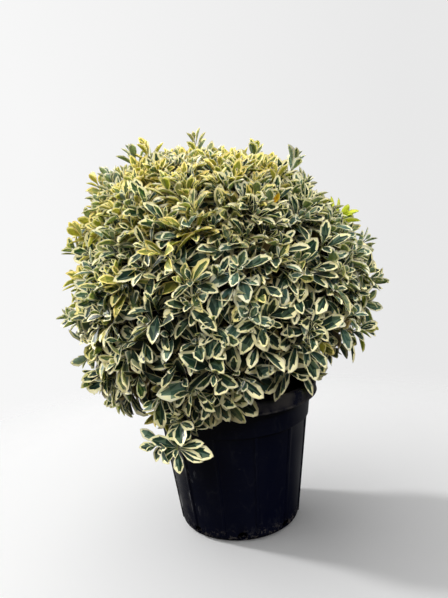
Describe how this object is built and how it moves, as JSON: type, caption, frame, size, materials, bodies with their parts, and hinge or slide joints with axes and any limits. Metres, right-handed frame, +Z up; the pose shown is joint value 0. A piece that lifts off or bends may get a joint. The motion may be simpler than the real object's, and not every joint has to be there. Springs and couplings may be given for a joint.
{
  "type": "potted euonymus ball topiary",
  "caption": "Variegated evergreen shrub grown as a leafy ball on a short stem, in a round black nursery pot with a rolled lip.",
  "frame": {"origin": "centre of the pot's flat underside, on the ground", "axes": "+Z up the stem, -Y towards the front of the pictured view, +X to its right"},
  "size_m": [0.549, 0.5374, 0.6878],
  "materials": {
    "pot": "satin black moulded plastic, dusty",
    "soil": "dark moist potting soil",
    "bark": "grey-brown bark",
    "leaves": "leathery green leaves with cream margins"
  },
  "bodies": {
    "root": {"pot": "pot", "soil": "soil", "stem": "bark", "bough_right_back": "bark", "bough_back": "bark", "bough_left_back": "bark", "bough_left_front": "bark", "bough_front": "bark", "bough_right_front": "bark", "bough_low": "bark", "foliage_top": "leaves", "foliage_right_back": "leaves", "foliage_back": "leaves", "foliage_left_back": "leaves", "foliage_left_front": "leaves", "foliage_front": "leaves", "foliage_right_front": "leaves", "foliage_low_spray": "leaves"}
  },
  "joints": []
}
